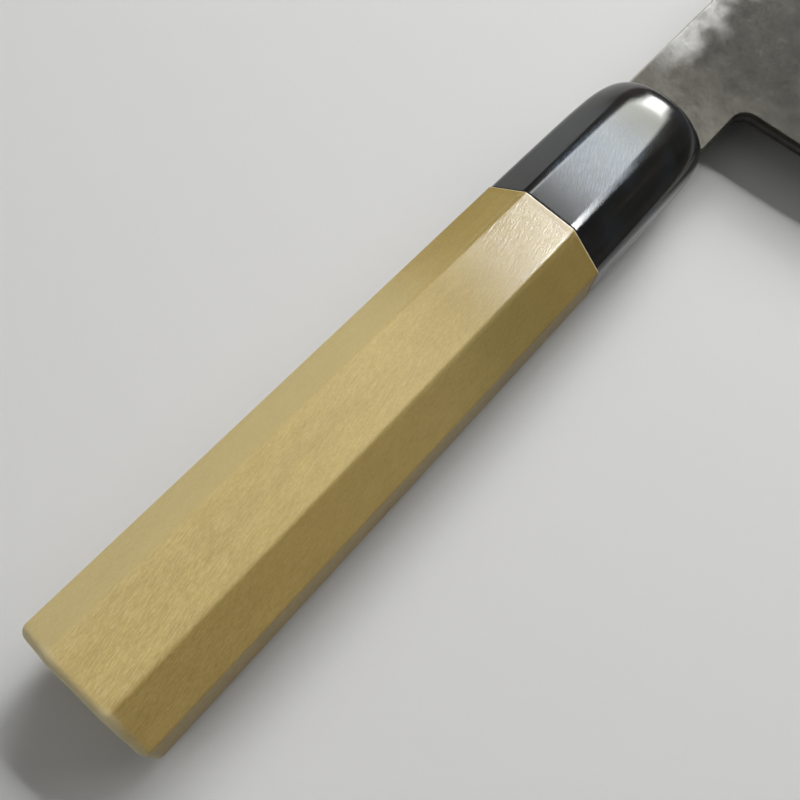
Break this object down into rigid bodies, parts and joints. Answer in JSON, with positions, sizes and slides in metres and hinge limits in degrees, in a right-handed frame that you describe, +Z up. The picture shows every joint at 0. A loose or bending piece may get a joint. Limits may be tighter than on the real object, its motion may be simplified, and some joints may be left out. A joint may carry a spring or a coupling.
{
  "type": "gyuto knife",
  "caption": "Chef's knife with a laminated, forge-scaled blade whose hidden tang is bedded in an octagonal wooden handle with a polished horn ferrule.",
  "frame": {"origin": "bottom centre of the bounding box, with the knife lying on the left flat of its handle", "axes": "+X towards the tip, +Y towards the spine, +Z up out of the blade's right face"},
  "size_m": [0.358, 0.051, 0.0214],
  "materials": {
    "core_steel": "ground",
    "forge_scale": "dull black forge scale",
    "black_horn": "polished buffalo horn",
    "pale_wood": "sanded, unvarnished",
    "resin": "set resin"
  },
  "bodies": {
    "root": {"core_steel": "core_steel", "cladding_right": "forge_scale", "cladding_left": "forge_scale", "horn_ferrule": "black_horn", "handle_body": "pale_wood", "tang_bedding": "resin", "mouth_seal": "resin"}
  },
  "joints": []
}
